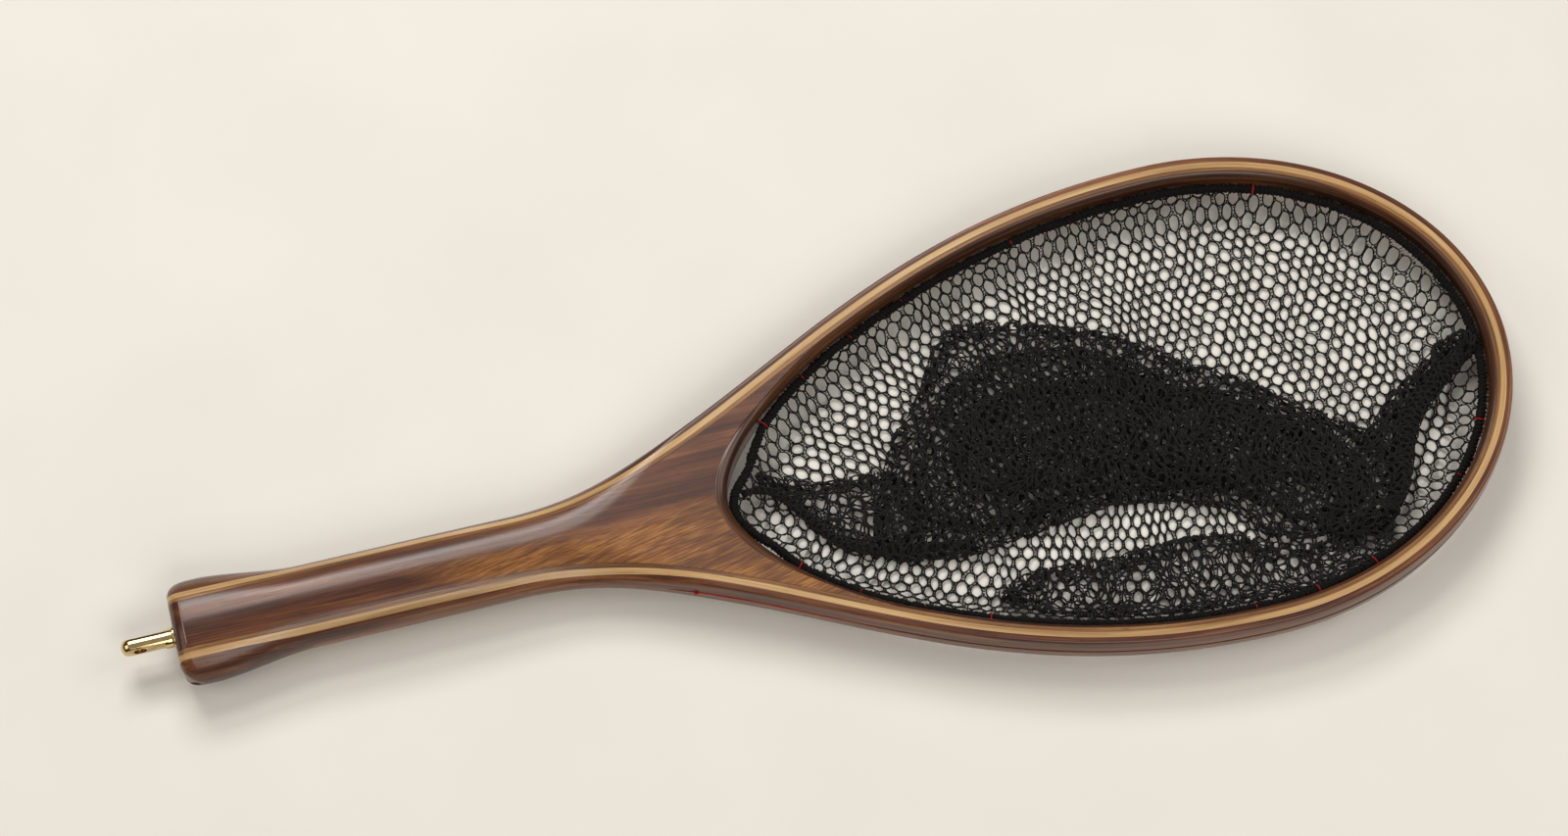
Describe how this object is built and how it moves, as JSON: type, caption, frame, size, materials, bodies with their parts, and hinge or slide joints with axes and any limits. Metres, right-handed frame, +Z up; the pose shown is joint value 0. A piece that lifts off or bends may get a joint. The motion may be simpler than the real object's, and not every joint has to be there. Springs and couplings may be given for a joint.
{
  "type": "landing net",
  "caption": "Hand-held trout landing net: laminated wooden hoop and grip, laced black netting bag, brass swivel in the butt.",
  "frame": {"origin": "on the surface the net lies on, under the middle of its overall length and width", "axes": "+X from the butt to the tip of the hoop, +Y across the hoop, +Z up, square to the hoop's plane"},
  "size_m": [0.6646, 0.2402, 0.032],
  "materials": {
    "walnut": "varnished",
    "dark_walnut": "varnished",
    "maple": "varnished",
    "ring_wood": "varnished",
    "brass": "polished",
    "netting": "knitted nylon",
    "red_thread": "waxed thread"
  },
  "bodies": {
    "frame": {"outer_lamination": "walnut", "pale_lamination": "maple", "inner_lamination": "walnut", "throat_ring": "ring_wood", "handle_block": "dark_walnut", "butt_cheek_far": "walnut", "butt_cheek_near": "walnut", "swivel_sleeve": "brass", "bag_hem": "netting", "bag_panel_far": "netting", "bag_panel_near": "netting", "bag_keel_seam": "netting", "lacing_thread": "red_thread", "lacing_stitch_01": "red_thread", "lacing_stitch_02": "red_thread", "lacing_stitch_03": "red_thread", "lacing_stitch_04": "red_thread", "lacing_stitch_05": "red_thread", "lacing_stitch_06": "red_thread", "lacing_stitch_07": "red_thread", "lacing_stitch_08": "red_thread", "lacing_stitch_09": "red_thread", "lacing_stitch_10": "red_thread", "lacing_stitch_11": "red_thread", "lacing_stitch_12": "red_thread", "lacing_stitch_13": "red_thread", "lacing_stitch_14": "red_thread", "lacing_stitch_15": "red_thread", "lacing_stitch_16": "red_thread", "lacing_stitch_17": "red_thread", "lacing_stitch_18": "red_thread", "lacing_stitch_19": "red_thread", "lacing_stitch_20": "red_thread", "lacing_stitch_21": "red_thread", "lacing_stitch_22": "red_thread", "lacing_stitch_23": "red_thread", "lacing_stitch_24": "red_thread", "lacing_stitch_25": "red_thread", "lacing_stitch_26": "red_thread", "lacing_stitch_27": "red_thread", "lacing_stitch_28": "red_thread"},
    "swivel": {"swivel_post": "brass", "swivel_clip": "brass"}
  },
  "joints": [
    {"name": "swivel_spin", "type": "hinge", "parent": "frame", "child": "swivel", "pos_m": [-0.3068, 0, 0.016], "axis": [1, 0, 0], "continuous": true}
  ]
}
